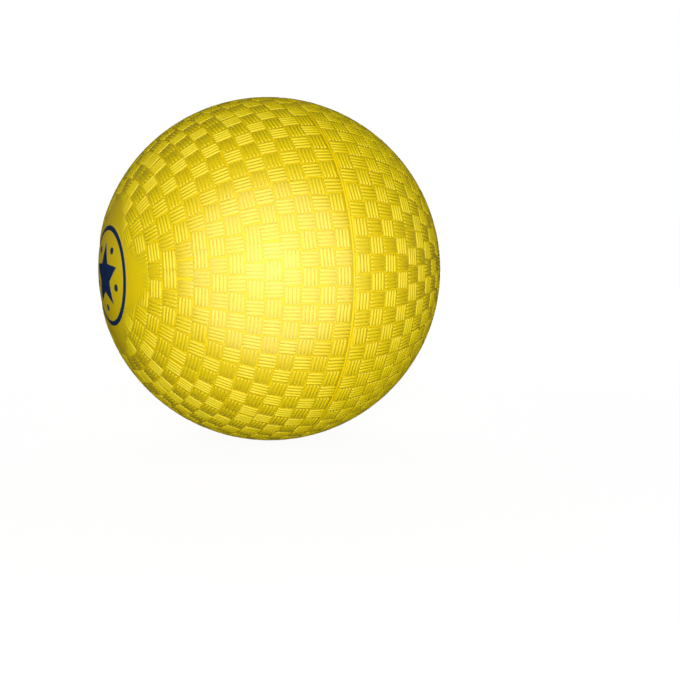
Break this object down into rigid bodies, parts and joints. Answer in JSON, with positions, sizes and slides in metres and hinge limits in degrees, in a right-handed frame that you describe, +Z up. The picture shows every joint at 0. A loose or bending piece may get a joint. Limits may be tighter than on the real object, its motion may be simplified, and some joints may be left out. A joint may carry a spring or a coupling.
{
  "type": "soft play ball",
  "caption": "Small two-ply rubber playground ball with a basket-weave cover, a smooth print patch and a needle valve whose plug pulls out; its valve side gives when pressed and springs back.",
  "frame": {"origin": "centre of the ball", "axes": "+X along the mould axis from the print patch to the valve, +Z up in the picture"},
  "size_m": [0.1264, 0.127, 0.127],
  "materials": {
    "cover_rubber": "yellow moulded rubber, satin, basket-weave relief",
    "bladder_rubber": "dark air-tight rubber sheet, matte",
    "valve_rubber": "black moulded rubber, satin",
    "plug_rubber": "soft dark rubber, matte"
  },
  "bodies": {
    "ball": {"cover_print_half": "cover_rubber", "cover_valve_half": "cover_rubber", "bladder_print_half": "bladder_rubber", "bladder_valve_half": "bladder_rubber"},
    "valve": {"valve_housing": "valve_rubber"},
    "plug": {"valve_plug": "plug_rubber"}
  },
  "joints": [
    {"name": "squeeze", "type": "slide", "parent": "ball", "child": "valve", "axis": [-1, 0, 0], "range_m": [0, 0.02], "stiffness_N_per_m": 1000, "deforming": ["cover_valve_half", "bladder_valve_half"]},
    {"name": "valve_plug_pull", "type": "slide", "parent": "valve", "child": "plug", "axis": [1, 0, 0], "range_m": [0, 0.025]}
  ]
}
